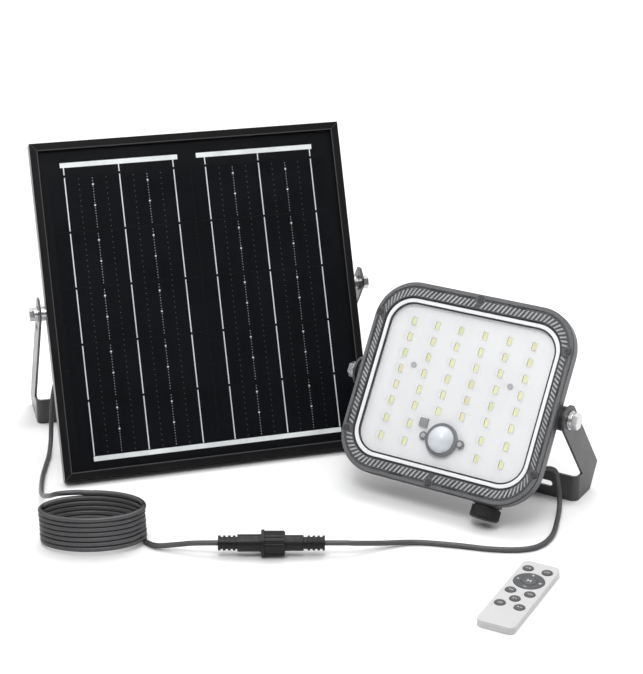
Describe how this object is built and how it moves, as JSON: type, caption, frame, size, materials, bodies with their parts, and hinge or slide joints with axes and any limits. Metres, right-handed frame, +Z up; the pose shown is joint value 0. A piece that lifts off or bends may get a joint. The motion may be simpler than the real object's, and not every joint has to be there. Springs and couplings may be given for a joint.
{
  "type": "solar flood light",
  "caption": "Flood light and framed solar panel, each hinged in a U bracket, joined by a coiled cable with a screw connector, with a button remote.",
  "frame": {"origin": "centre of the footprint of the whole set at ground level, on which both brackets stand", "axes": "+X to the right seen from the front, across the set; +Y away from the viewer, towards the back of the panel; +Z up"},
  "size_m": [0.6524, 0.6214, 0.3463],
  "materials": {
    "black_aluminium": "black anodised, satin",
    "aluminium": "satin",
    "zinc_steel": "zinc plated",
    "panel_bracket_paint": "powder coated",
    "lamp_bracket_paint": "powder coated",
    "solar_glass": "tempered, clear",
    "silicon": "silicon cells, smooth",
    "tinned_ribbon": "tinned copper",
    "black_sheet": "black film",
    "black_plastic": "moulded, matt",
    "cable_black": "matt",
    "rubber_black": "matt",
    "seal_orange": "silicone",
    "brass_pins": "bright",
    "grey_plastic": "moulded, fine texture",
    "clear_cover": "clear moulded cover",
    "white_plastic": "smooth",
    "led_yellow": "phosphor",
    "lens_clear": "clear moulded lenses",
    "silver_plastic": "metallised",
    "dome_white": "translucent",
    "smoke_window": "smooth",
    "cell_wrap": "shrink sleeve",
    "circuit_board": "solder mask",
    "red_plastic": "smooth",
    "remote_white": "moulded",
    "key_grey": "silicone keys",
    "steel": "satin"
  },
  "bodies": {
    "base": {"panel_bracket": "panel_bracket_paint", "lamp_bracket": "lamp_bracket_paint", "panel_cable": "cable_black", "lamp_cable": "cable_black", "socket_body": "black_plastic"},
    "panel": {"frame_side_rails": "black_aluminium", "frame_end_rails": "black_aluminium", "frame_corner_keys": "aluminium", "panel_glass": "solar_glass", "solar_cells": "silicon", "cell_ribbons": "tinned_ribbon", "backsheet": "black_sheet", "junction_box": "black_plastic", "junction_box_lid": "black_plastic", "junction_box_screws": "zinc_steel", "panel_cable_gland": "black_plastic", "panel_pivot_blocks": "aluminium", "panel_pivot_bolts": "zinc_steel", "panel_pivot_washers": "zinc_steel"},
    "lamp_head": {"lamp_housing": "grey_plastic", "front_cover": "clear_cover", "cover_seal": "rubber_black", "cover_screws": "steel", "reflector_frame": "white_plastic", "led_board": "white_plastic", "led_packages": "led_yellow", "lens_plate": "lens_clear", "pir_ring": "silver_plastic", "pir_dome": "dome_white", "pir_sensor": "steel", "board_screws": "steel", "sensor_window": "smoke_window", "battery_cells": "cell_wrap", "battery_holder": "black_plastic", "control_board": "circuit_board", "lamp_cable_gland": "black_plastic", "lamp_pivot_bolts": "zinc_steel", "lamp_pivot_washers": "zinc_steel", "lamp_pivot_pads": "rubber_black"},
    "plug": {"plug_body": "black_plastic", "plug_pins": "brass_pins", "plug_seal": "seal_orange"},
    "nut": {"coupling_nut": "black_plastic"},
    "button_power": {"power_button": "red_plastic"},
    "cap_seal": {"port_seal": "rubber_black"},
    "cap": {"port_cap": "black_plastic"},
    "remote": {"remote_top_shell": "remote_white", "remote_bottom_shell": "remote_white", "remote_board": "circuit_board"},
    "button_mode": {"mode_button": "key_grey"},
    "button_ring": {"ring_button": "key_grey"},
    "button_1": {"key_1": "key_grey"},
    "button_2": {"key_2": "key_grey"},
    "button_3": {"key_3": "key_grey"},
    "button_4": {"key_4": "key_grey"},
    "button_5": {"key_5": "key_grey"},
    "button_6": {"key_6": "key_grey"},
    "button_7": {"key_7": "key_grey"},
    "tray": {"battery_tray": "remote_white", "coin_cell": "steel"}
  },
  "joints": [
    {"name": "panel_tilt", "type": "hinge", "parent": "base", "child": "panel", "pos_m": [-0.10814, 0.11534, 0.172], "axis": [-0.9627, -0.2706, 0], "range_deg": [-20, 4]},
    {"name": "lamp_tilt", "type": "hinge", "parent": "base", "child": "lamp_head", "pos_m": [0.17436, -0.01116, 0.11], "axis": [-0.8572, 0.515, 0], "range_deg": [0, 56]},
    {"name": "plug_pull", "type": "slide", "parent": "base", "child": "plug", "axis": [1, 0, 0], "range_m": [0, 0.018]},
    {"name": "coupling_nut_turn", "type": "hinge", "parent": "plug", "child": "nut", "pos_m": [-0.02264, -0.16116, 0.0137], "axis": [1, 0, 0], "continuous": true},
    {"name": "power_button_press", "type": "slide", "parent": "lamp_head", "child": "button_power", "axis": [0.2843, 0.4731, 0.8339], "range_m": [0, 0.0015], "stiffness_N_per_m": 800},
    {"name": "port_cap_travel", "type": "slide", "parent": "lamp_head", "child": "cap_seal", "axis": [-0.2843, -0.4731, -0.8339], "range_m": [0, 0.012]},
    {"name": "port_cap_turn", "type": "hinge", "parent": "cap_seal", "child": "cap", "pos_m": [0.19557, -0.10013, 0.01582], "axis": [-0.2843, -0.4731, -0.8339], "range_deg": [0, 2160]},
    {"name": "remote_lift", "type": "slide", "parent": "base", "child": "remote", "axis": [0, 0, 1], "range_m": [0, 0.12]},
    {"name": "mode_press", "type": "slide", "parent": "remote", "child": "button_mode", "axis": [0, 0, -1], "range_m": [0, 0.0006], "stiffness_N_per_m": 600},
    {"name": "ring_press", "type": "slide", "parent": "remote", "child": "button_ring", "axis": [0, 0, -1], "range_m": [0, 0.0006], "stiffness_N_per_m": 600},
    {"name": "key_1_press", "type": "slide", "parent": "remote", "child": "button_1", "axis": [0, 0, -1], "range_m": [0, 0.0006], "stiffness_N_per_m": 600},
    {"name": "key_2_press", "type": "slide", "parent": "remote", "child": "button_2", "axis": [0, 0, -1], "range_m": [0, 0.0006], "stiffness_N_per_m": 600},
    {"name": "key_3_press", "type": "slide", "parent": "remote", "child": "button_3", "axis": [0, 0, -1], "range_m": [0, 0.0006], "stiffness_N_per_m": 600},
    {"name": "key_4_press", "type": "slide", "parent": "remote", "child": "button_4", "axis": [0, 0, -1], "range_m": [0, 0.0006], "stiffness_N_per_m": 600},
    {"name": "key_5_press", "type": "slide", "parent": "remote", "child": "button_5", "axis": [0, 0, -1], "range_m": [0, 0.0006], "stiffness_N_per_m": 600},
    {"name": "key_6_press", "type": "slide", "parent": "remote", "child": "button_6", "axis": [0, 0, -1], "range_m": [0, 0.0006], "stiffness_N_per_m": 600},
    {"name": "key_7_press", "type": "slide", "parent": "remote", "child": "button_7", "axis": [0, 0, -1], "range_m": [0, 0.0006], "stiffness_N_per_m": 600},
    {"name": "battery_tray_pull", "type": "slide", "parent": "remote", "child": "tray", "axis": [-0.4695, -0.8829, 0], "range_m": [0, 0.034]}
  ],
  "couplings": [
    {"joint": "port_cap_turn", "follows": "port_cap_travel", "rad_per_m": 3141.6}
  ]
}
